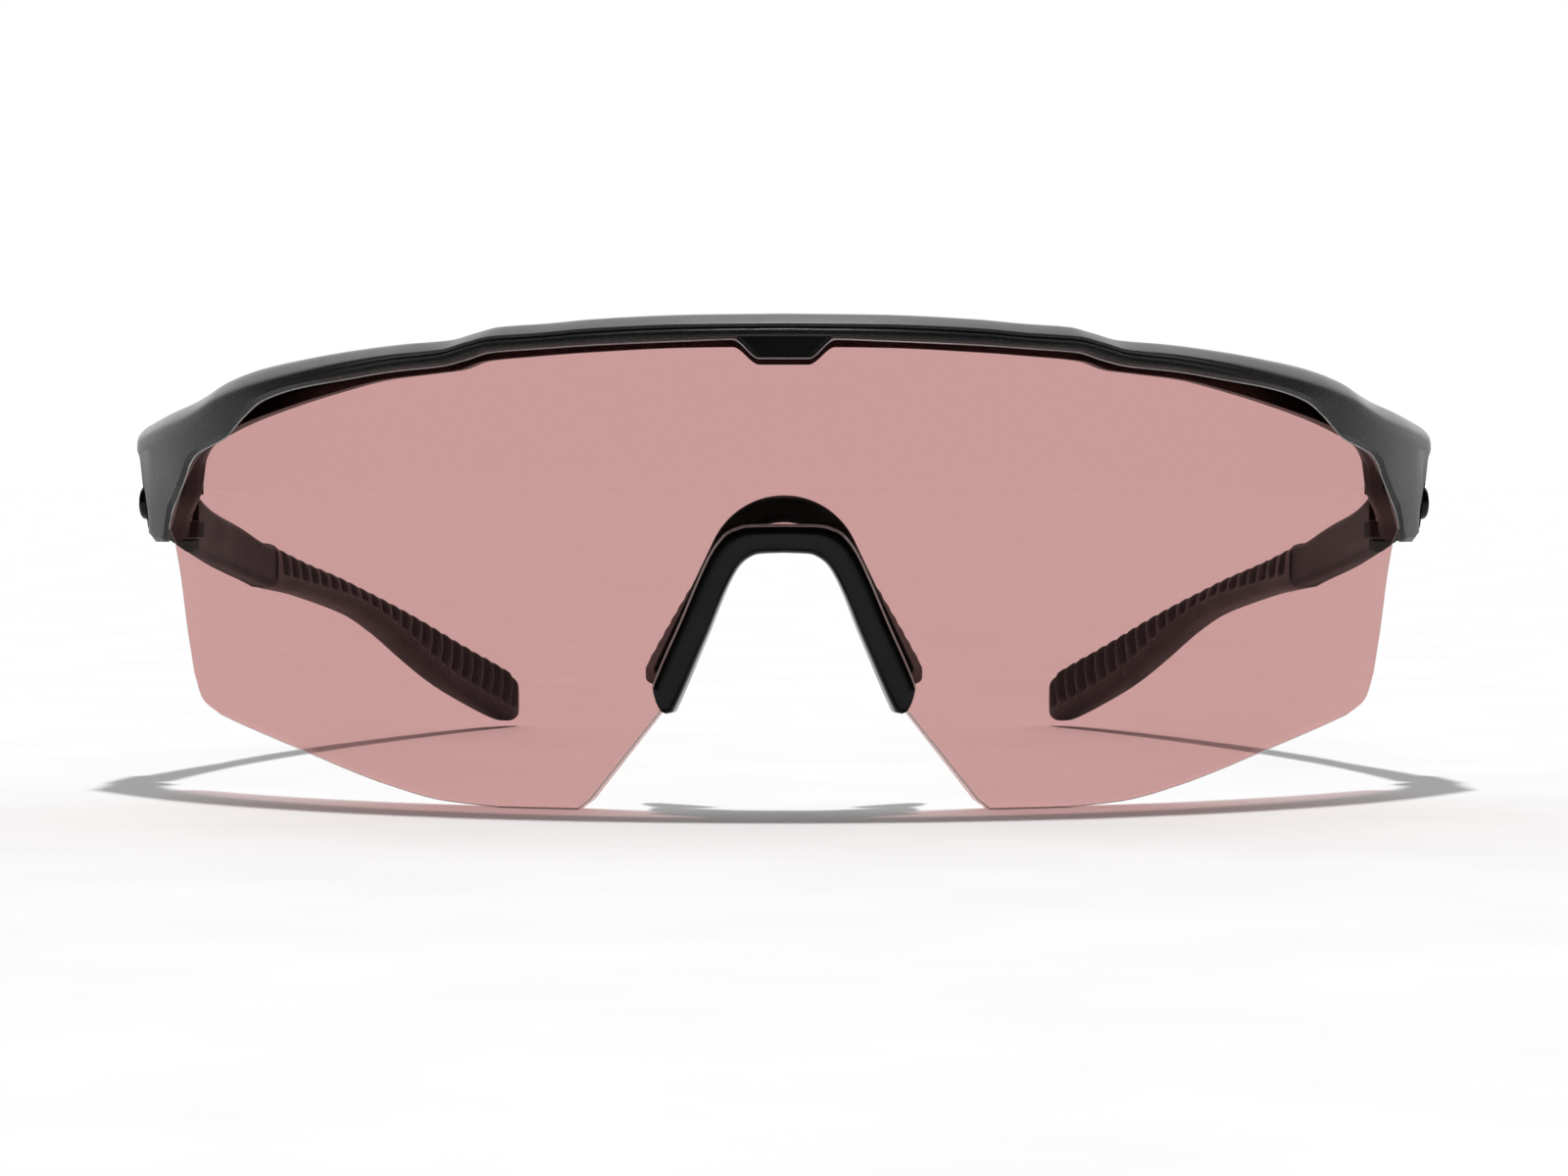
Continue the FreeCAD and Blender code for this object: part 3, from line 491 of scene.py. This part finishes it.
HINGE = {side: Vector(next(j for j in frame["record"]["behaviour"]["joints"]
                           if j["name"] == "hinge_" + side)["pos_m"]) / MM for side, _ in SIDES}
EAR_R, EAR_BORE, HEAD_R, HEAD_H, NUT_R, NUT_H = 1.7, 0.65, 1.1, 0.8, 1.05, 1.6
EARS = ((27.2, 29.2), (32.06, 34.06))
SETBACK = 2.4                                # hinge axis behind the bar's end face
ROOT = 1.2                                   # how far an ear runs into the bar
EAR_SOFT, EAR_STEPS = 0.18, 72               # chamfer and facets of an ear


def make_ear(side, sign, low, high, seat_radius, seat_height, seat_on_top):
    """A hinge lug: round boss and neck about the hinge axis, with a bore and a seat."""
    centre = HINGE[side]
    heading = math.atan2(-math.sin(math.radians(END)), sign * -math.cos(math.radians(END)))
    rings = []
    for k in range(EAR_STEPS):
        theta = 2 * math.pi * k / EAR_STEPS
        off = (theta - heading + math.pi) % (2 * math.pi) - math.pi
        reach = EAR_R
        if abs(off) < math.pi / 2:
            forward = (SETBACK + ROOT) / max(math.cos(off), 1e-6)
            across = EAR_R / max(abs(math.sin(off)), 1e-6)
            reach = min(forward, across)
        ends = [(EAR_BORE, low), (reach - EAR_SOFT, low), (reach, low + EAR_SOFT),
                (reach, high - EAR_SOFT), (reach - EAR_SOFT, high), (seat_radius, high),
                (seat_radius, high - seat_height),
                (EAR_BORE, high - seat_height)]
        if not seat_on_top:
            ends = [(r, low + high - z) for r, z in ends]
        rings.append([(centre.x + r * math.cos(theta), centre.y + r * math.sin(theta), z)
                      for r, z in ends])
    return skin(rings + rings[:1], caps=False)


def make_brow():
    rings = []
    for angle in brow_angles():
        loop = brow_section(angle)
        if abs(angle) > 59.8:
            loop = shrunk(loop, 0.12)
        rings.append([polar(r, angle, z) for r, z in loop])
    for angle in (END, -END):
        loop = shrunk(brow_section(angle), 0.30)
        ring = [polar(r, angle, z) for r, z in loop]
        rings = rings + [ring] if angle > 0 else [ring] + rings
    parts = [skin(rings)]
    for side, sign in SIDES:
        parts.append(make_ear(side, sign, *EARS[0], NUT_R, NUT_H, False))
        parts.append(make_ear(side, sign, *EARS[1], HEAD_R, HEAD_H, True))
    brow = build("brow_shell", parts, "front", ["brow_frame"], FRAME_PLASTIC,
                 sharp=42.0)
    # Faces of the narrow strip along the front lip get the painted edge highlight.
    brow.data.materials.append(EDGE_HIGHLIGHT)
    for face in brow.data.polygons:
        spot = face.center / MM
        radius = math.hypot(spot.x, spot.y - AXIS)
        angle = abs(math.degrees(math.atan2(spot.x, AXIS - spot.y)))
        rise = spot.z - float(FRONT_LIP(angle))
        if 83.6 < radius < 84.05 and rise < LIP_HIGHLIGHT_WIDTH * slope_of(FRONT_LIP, angle) and angle < 53.5:
            face.material_index = 1
    return brow


# ---------------------------------------------------------------- nose clip, saddle and pads

CLIP_OUTER = [chord(0, 29.4), chord(3.6, 29.35), chord(5.6, 28.75), chord(7.0, 27.3),
              chord(7.9, 25.7), chord(10.55, 19.55), chord(13.2, 13.4), chord(13.4, 12.8)]
CLIP_INNER = [chord(0, 26.45), chord(2.5, 26.35), chord(3.9, 25.75), chord(5.0, 24.5),
              chord(8.0, 17.65), chord(11.0, 10.8), chord(11.35, 10.1)]
CLIP_TIP = chord(12.2, 9.9)
CLIP_STATIONS = 60                           # sections along each half of the clip


def even(points, count):
    """This many points, evenly spaced along a smooth curve through the given ones."""
    fine = np.array(sampled([(a * PER_DEGREE, z) for a, z in points], 0.05))
    steps = np.concatenate([[0], np.cumsum(np.hypot(*np.diff(fine, axis=0).T))])
    at = np.linspace(0, steps[-1], count)
    return [(np.interp(t, steps, fine[:, 0]), np.interp(t, steps, fine[:, 1])) for t in at]


def clip_section(outer, inner, closing):
    """C-shaped loop that grips the lens's edge between an outer and an inner point."""
    shape = rounded([
        (0.0, LENS_R + FIT, 0.02), (0.0, mix(82.3, 82.55, closing), 0.02),
        (0.06, mix(82.4, 82.8, closing), 0.02), (0.10, mix(82.6, CLIP_R, closing), 0.5),
        (0.5, mix(82.7, CLIP_R + 0.05, closing), 1.0), (1.0, mix(82.3, 82.9, closing), 0.9),
        (1.0, mix(79.7, 79.1, closing), 0.9), (0.5, mix(79.4, CLIP_BACK, closing), 1.0),
        (0.02, mix(79.5, CLIP_BACK, closing), 0.7), (0.0, LENS_BACK - FIT, 0.05),
        (0.62, LENS_BACK - FIT, 0.03), (0.62, LENS_R + FIT, 0.03)], 5)
    ring = []
    for across, radius in shape:
        u, z = mix(outer[0], inner[0], across), mix(outer[1], inner[1], across)
        ring.append(polar(radius, u / PER_DEGREE, z))
    return ring


def make_clip():
    outer, inner = even(CLIP_OUTER, CLIP_STATIONS), even(CLIP_INNER, CLIP_STATIONS)
    tip = (CLIP_TIP[0] * PER_DEGREE, CLIP_TIP[1])
    stations = []
    for o, i in zip(outer, inner):
        stations.append((o, i, 1.0))
    for t in (0.35, 0.62, 0.82, 0.94):       # the foot closes to a rounded tip
        pull = 1 - math.sqrt(1 - t * t)
        stations.append((tuple(mix(a, b, pull) for a, b in zip(
            (outer[-1][0] - 0.1 * t, outer[-1][1] - 1.6 * t), tip)),
            tuple(mix(a, b, pull) for a, b in zip(inner[-1], tip)), 1 - 0.6 * pull))
    right = [clip_section((-o[0], o[1]), (-i[0], i[1]), c) for o, i, c in reversed(stations[1:])]
    rings = right + [clip_section(o, i, c) for o, i, c in stations]
    clip = build("clip_shell", [skin(rings)], "front", ["nose_clip"], GLOSS_BLACK,
                 sharp=50.0)
    # Faces along the clip's outer rim get the painted edge highlight.
    clip.data.materials.append(EDGE_HIGHLIGHT)
    rim = np.array(even(CLIP_OUTER, 900))
    for face in clip.data.polygons:
        spot = face.center / MM
        radius = math.hypot(spot.x, spot.y - AXIS)
        run = abs(math.degrees(math.atan2(spot.x, AXIS - spot.y))) * PER_DEGREE
        away = np.hypot(rim[:, 0] - run, rim[:, 1] - spot.z).min()
        if 82.45 < radius < 82.95 and away < 0.26:
            face.material_index = 1
    return clip


SADDLE_ARC, SADDLE_Z, SADDLE_WIDE = 8.0, 24.3, 2.8
SADDLE_LEAN, SADDLE_LEG = math.radians(25.4), 15.5
ARCH_STEPS, LEG_STEPS = 30, 40               # stations along the arch's half and down a leg
saddle_low, saddle_high = (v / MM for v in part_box("nose_saddle"))


def saddle_line(width_at):
    """Stations (outer point, inner point) round the arch and down to the +X foot."""
    stations = []
    for k in range(ARCH_STEPS + 1):
        turn = math.pi / 2 - (math.pi / 2 - SADDLE_LEAN) * k / ARCH_STEPS
        way = Vector((math.cos(turn), math.sin(turn)))
        stations.append((way * SADDLE_ARC, way))
    way = Vector((math.cos(SADDLE_LEAN), math.sin(SADDLE_LEAN)))
    run = Vector((way.y, -way.x))
    for k in range(1, LEG_STEPS + 1):
        stations.append((way * SADDLE_ARC + run * (SADDLE_LEG * k / LEG_STEPS), way))
    lines = []
    for i, (outer, way) in enumerate(stations):
        wide = width_at(i / (len(stations) - 1))
        lines.append(((outer.x, outer.y + SADDLE_Z),
                      (outer.x - way.x * wide, outer.y - way.y * wide + SADDLE_Z)))
    return lines


def make_saddle():
    lines = saddle_line(lambda t: SADDLE_WIDE * (1 - 0.12 * t))
    front, back = saddle_low.y, saddle_high.y
    rings = []
    for i, (outer, inner) in enumerate(lines):
        left = (len(lines) - 1 - i) * SADDLE_LEG / LEG_STEPS
        close = math.sqrt(max(0.0, 1 - (1 - min(left, 1.2) / 1.2) ** 2)) * 0.75 + 0.25
        middle = (front + back) / 2
        half = (back - front) / 2 * close
        shape = rounded([(0, middle - half, 0.7), (1, middle - half, 0.7),
                         (1, middle + half, 0.8), (0, middle + half, 0.8)], 6)
        ring = []
        for across, y in shape:
            side = 0.5 + (across - 0.5) * close
            ring.append((mix(outer[0], inner[0], side), y, mix(outer[1], inner[1], side)))
        rings.append(ring)
    mirror = [[(-x, y, z) for x, y, z in ring] for ring in reversed(rings[1:])]
    return build("saddle_band", [skin(mirror + rings)], "front", ["nose_saddle"],
                 SADDLE_PLASTIC, sharp=50.0)


PAD_THICK, PAD_DEEP, PAD_LONG, PAD_ROUND, PAD_SPLAY = 1.8, 7.0, 13.5, 0.7, 18.0
PAD_START, PAD_DROP, PAD_OUT = 8.5, 0.5, 2.2
RIDGE = 1.45                                 # pitch of a pad's soft ridges
PAD_STEPS = 90                               # sections along a pad


def make_pad(side, sign):
    """Soft pad with shallow ridges, leaning with its saddle leg and splayed to the face."""
    way = Vector((math.cos(SADDLE_LEAN), math.sin(SADDLE_LEAN)))
    run = Vector((way.y, -way.x))
    foot = way * (SADDLE_ARC - SADDLE_WIDE) + run * SADDLE_LEG
    place = (Matrix.Translation((foot.x + PAD_OUT - PAD_THICK, CREST + PAD_START,
                                 foot.y + SADDLE_Z - PAD_DROP))
             @ Matrix.Rotation(math.radians(-PAD_SPLAY), 4, "Z")
             @ Matrix.Rotation(-SADDLE_LEAN, 4, "Y"))
    rings = []
    for k in range(PAD_STEPS + 1):
        up = PAD_LONG * k / PAD_STEPS
        end = min(up, PAD_LONG - up) / 2.4
        close = math.sqrt(max(0.0, 1 - (1 - min(end, 1.0)) ** 2)) * 0.94 + 0.06
        wave = 0.5 - 0.5 * math.cos(2 * math.pi * up / RIDGE)
        taper = 1 - 0.72 * (up / PAD_LONG) ** 1.3
        thick, deep = PAD_THICK * mix(0.55, 1, close), PAD_DEEP * close * taper - 0.34 * wave
        shape = rounded([(-thick / 2, -deep / 2, PAD_ROUND), (thick / 2, -deep / 2, PAD_ROUND),
                         (thick / 2, 0, 2.5), (thick / 2, deep / 2, PAD_ROUND),
                         (-thick / 2, deep / 2, PAD_ROUND), (-thick / 2, 0, 2.5)], 6)
        ring = []
        for x, y in shape:
            crown = 0.16 * (1 - (2 * y / PAD_DEEP) ** 2) - 0.10 * wave
            spot = place @ Vector((PAD_THICK / 2 + x + math.copysign(crown, x) * 0.5,
                                   PAD_DEEP * mix(taper, 1, 0.12) / 2 + y, up))
            ring.append((sign * spot.x, spot.y, spot.z))
        rings.append(ring)
    pad = build("nose_cushion_" + side, [skin(rings)], "front", ["nose_pad_" + side],
                PAD_RUBBER, sharp=60.0)
    return pad


# ---------------------------------------------------------------- temple grips

INNER_LINE = through([(38, 67.3), (60, 64.6), (80, 60.6), (100, 55.0), (120, 48.0),
                      (135, 42.0), (151, 34.4)])
GRIP_SECTIONS = [                            # back, inset, thickness, low Z, high Z
    (79, -0.1, 3.8, 20.75, 26.05), (90, -0.1, 4.1, 19.6, 23.7), (101, -0.1, 4.2, 17.8, 21.5),
    (108, -0.1, 4.2, 16.3, 19.8), (116, -0.1, 4.2, 13.5, 17.7), (124, -0.1, 4.2, 9.9, 15.4),
    (132, -0.1, 4.1, 6.3, 12.8), (140, -0.1, 4.0, 3.3, 10.1), (146, 0.0, 3.6, 1.1, 8.0),
    (149.3, 0.2, 2.8, 0.05, 6.7),
]
GRIP_INSET, GRIP_THICK, GRIP_LOW, GRIP_HIGH = (
    through([(s[0], s[k]) for s in GRIP_SECTIONS]) for k in (1, 2, 3, 4))
GRIP_START, GRIP_END = GRIP_SECTIONS[0][0], GRIP_SECTIONS[-1][0]
RIB_START, RIB_END = 79.9, 147.4
GRIP_STEP, GRIP_SIDES = 0.24, 34             # spacing of sections, points up each side
RIB_PITCH = through([(79, 3.1), (120, 2.9), (148, 2.3)])
RIB_REACH = through([(79, 0.66), (94, 0.62), (103, 0.54), (110, 0.58), (118, 0.68), (126, 0.76),
                     (148, 0.76)])
RIB_DEPTH = through([(79, 1.0), (96, 0.9), (104, 0.7), (116, 0.8), (128, 0.9), (148, 0.75)])
TIP = 3.2                                    # length over which the tip closes


def rib_places():
    places = [RIB_START + 1.4]
    while places[-1] < RIB_END - 1.0:
        places.append(places[-1] + float(RIB_PITCH(places[-1])))
    return np.array(places)


RIBS = rib_places()


def rib_cut(back, down):
    """How deep the grip is cut at this place; down runs from 0 at the top edge to 1."""
    paddle = smoothstep(108, 122, back)
    lean = mix(0.9 * down, 1.6 * down - 3.4 * down ** 2, paddle)
    near = np.min(np.abs(back - lean - RIBS))
    width = mix(0.62, 0.66, paddle) * mix(1.15, 0.8, down)
    notch = math.exp(-(near / width) ** 2)
    reach = float(RIB_REACH(back))
    return float(RIB_DEPTH(back)) * notch * (1 - smoothstep(reach - 0.08, reach + 0.05, down))


def grip_ring(back):
    """Closed ring of (X, back, Z) round the grip, ribs included."""
    closing = max(0.0, (back - (GRIP_END - TIP)) / TIP)
    close = math.sqrt(max(0.0, 1 - closing ** 2))
    opening = min(1.0, (back - GRIP_START) / 0.5)
    thick = float(GRIP_THICK(back)) * mix(0.92, 1, opening)
    low, high = float(GRIP_LOW(back)), float(GRIP_HIGH(back))
    inner = float(INNER_LINE(back) + GRIP_INSET(back))
    middle = (inner + thick / 2, (low + high) / 2)
    tall = high - low
    half = [(-0.5, 0.5 - k / GRIP_SIDES) for k in range(1, GRIP_SIDES)]
    shape = [(-0.5 + k / 6, 0.5) for k in range(7)][::-1] + half
    shape += [(-0.5 + k / 6, -0.5) for k in range(7)]
    shape += [(0.5, -0.5 + k / GRIP_SIDES) for k in range(1, GRIP_SIDES)]
    radius = min(1.35, tall / 2.2, thick / 2.05)
    ring = []
    for a, b in shape:
        x, z = a * thick, b * tall
        inside_x = max(-thick / 2 + radius, min(thick / 2 - radius, x))
        inside_z = max(-tall / 2 + radius, min(tall / 2 - radius, z))
        way = Vector((x - inside_x, z - inside_z))
        if way.length < 1e-6:
            way = Vector((math.copysign(1, a), 0) if abs(a) > 0.49 else (0, math.copysign(1, b)))
            way = way * radius
        way.normalize()
        bulge = 0.0 if abs(b) > 0.49 else 0.12 * (1 - (2 * b) ** 2)
        cut = rib_cut(back, 0.5 - b) if closing < 0.75 else 0.0
        out = radius + bulge - cut
        spot = (inside_x + way.x * out, inside_z + way.y * out)
        ring.append((middle[0] + spot[0] * mix(0.30, 1, close),
                     CREST + back, middle[1] + spot[1] * mix(0.55, 1, close)))
    return ring


def make_grip(side, sign):
    backs = list(np.arange(GRIP_START, GRIP_END - TIP, GRIP_STEP))
    backs += [GRIP_END - TIP + TIP * math.sin(math.pi / 2 * k / 14) for k in range(15)]
    rings = [[(sign * x, y, max(z, 0.05)) for x, y, z in grip_ring(float(b))] for b in backs]
    return build("grip_sleeve_" + side, [skin(rings)], "temple_" + side, ["temple_grip_" + side],
                 GRIP_RUBBER, sharp=70.0)


# ---------------------------------------------------------------- CAD pieces that stay

def dress(node, material, bevel):
    """A CAD piece keeps its shape, with softened edges and a finish of its own."""
    piece = frame["nodes"][node]
    piece.data.materials.clear()
    piece.data.materials.append(material)
    if bevel:
        edges = piece.modifiers.new("soft_edges", "BEVEL")
        edges.width = bevel * MM
        edges.segments = 2
        edges.limit_method = "ANGLE"
        edges.angle_limit = math.radians(40)
        edges.harden_normals = False


def dress_cad():
    dress("brow_keystone", GLOSS_BLACK, 0.12)
    for side, _ in SIDES:
        dress("hinge_screw_" + side, SCREW_STEEL, 0.05)
        dress("hinge_nut_" + side, NUT_BRASS, 0.05)
        dress("hinge_washers_" + side, WASHER_NYLON, 0.03)
        dress("core_wire_" + side, WIRE_TITANIUM, 0)
        dress("temple_arm_" + side, ARM_PLASTIC, 0)
        dress("temple_badge_" + side, GLOSS_BLACK, 0)


# ---------------------------------------------------------------- studio

CAMERA_BACK = 450.0                          # camera in front of the lens's crest
CAMERA_UP, CAMERA_PITCH, CAMERA_LENS = 35.364, 1.5897, 101.25
KEY_POWER = 25.7                             # with the world's glow, makes the floor just white
LAMP_PLACE, LAMP_RADIUS = (0, 0.115, 0.78), 0.024       # metres
LAMP_EVEN = 0.04                             # least slope that the lamp is evened out for
FRONT_GLOW, BACK_GLOW, ROOF_SHARE = 0.05, 2.2, 0.55


def make_camera():
    data = bpy.data.cameras.new("camera")
    data.sensor_width = 36.0
    data.lens = CAMERA_LENS
    camera = bpy.data.objects.new("camera", data)
    camera.location = (0, (CREST - CAMERA_BACK) * MM, CAMERA_UP * MM)
    camera.rotation_euler = (math.radians(90 - CAMERA_PITCH), 0, 0)
    bpy.context.scene.collection.objects.link(camera)
    bpy.context.scene.camera = camera


def make_light():
    """Small lamp above and behind, evened out so that it lights the whole floor alike."""
    data = bpy.data.lights.new("overhead", "POINT")
    data.shadow_soft_size = LAMP_RADIUS
    data.energy = KEY_POWER
    data.use_nodes = True
    nodes, links = data.node_tree.nodes, data.node_tree.links
    emission = nodes["Emission"]
    way = nodes.new("ShaderNodeSeparateXYZ")
    links.new(nodes.new("ShaderNodeTexCoord").outputs["Normal"], way.inputs[0])
    down = nodes.new("ShaderNodeMath")
    down.operation = "ABSOLUTE"
    links.new(way.outputs["Z"], down.inputs[0])
    floored = nodes.new("ShaderNodeMath")
    floored.operation = "MAXIMUM"
    floored.inputs[1].default_value = LAMP_EVEN
    links.new(down.outputs["Value"], floored.inputs[0])
    even = nodes.new("ShaderNodeMath")
    even.operation = "DIVIDE"
    links.new(floored.outputs["Value"], even.inputs[1])
    fade = nodes.new("ShaderNodeLightFalloff")
    fade.inputs["Strength"].default_value = 1.0
    links.new(fade.outputs["Constant"], even.inputs[0])
    links.new(even.outputs["Value"], emission.inputs["Strength"])
    light = bpy.data.objects.new("overhead", data)
    light.location = LAMP_PLACE
    bpy.context.scene.collection.objects.link(light)


def make_floor():
    reach = 6.0
    mesh = bpy.data.meshes.new("floor")
    mesh.from_pydata([(-reach, -reach, 0), (reach, -reach, 0), (reach, reach, 0),
                      (-reach, reach, 0)], [], [(0, 1, 2, 3)])
    floor = bpy.data.objects.new("floor", mesh)
    bpy.context.scene.collection.objects.link(floor)
    mesh.materials.append(solid("pale_floor", (0.90, 0.90, 0.90), (0.93, 0.93, 0.93),
                                (0.8, 0.9), 40.0, 0.0, specular=0.0))


def make_world():
    """White studio: plain white to look at, bright behind the object and dark in front of it."""
    world = bpy.data.worlds.new("studio")
    world.use_nodes = True
    nodes, links = world.node_tree.nodes, world.node_tree.links
    way = nodes.new("ShaderNodeSeparateXYZ")
    links.new(nodes.new("ShaderNodeTexCoord").outputs["Generated"], way.inputs[0])
    wall = ranged(nodes, links, way.outputs["Y"], FRONT_GLOW, BACK_GLOW, 0.2, 0.5)
    roof = ranged(nodes, links, way.outputs["Z"], 1.0, ROOF_SHARE, 0.0, 0.8)
    glow = nodes.new("ShaderNodeMath")
    glow.operation = "MULTIPLY"
    links.new(wall, glow.inputs[0])
    links.new(roof, glow.inputs[1])
    seen = nodes.new("ShaderNodeMix")
    links.new(nodes.new("ShaderNodeLightPath").outputs["Is Camera Ray"], seen.inputs["Factor"])
    links.new(glow.outputs["Value"], seen.inputs["A"])
    seen.inputs["B"].default_value = 1.0
    links.new(seen.outputs["Result"], nodes["Background"].inputs["Strength"])
    nodes["Background"].inputs["Color"].default_value = (1, 1, 1, 1)
    bpy.context.scene.world = world
    bpy.context.scene.view_settings.view_transform = "Standard"


make_camera()
make_floor()
make_world()
make_light()
make_lens()
make_brow()
make_clip()
make_saddle()
for side, sign in SIDES:
    make_pad(side, sign)
    make_grip(side, sign)
dress_cad()
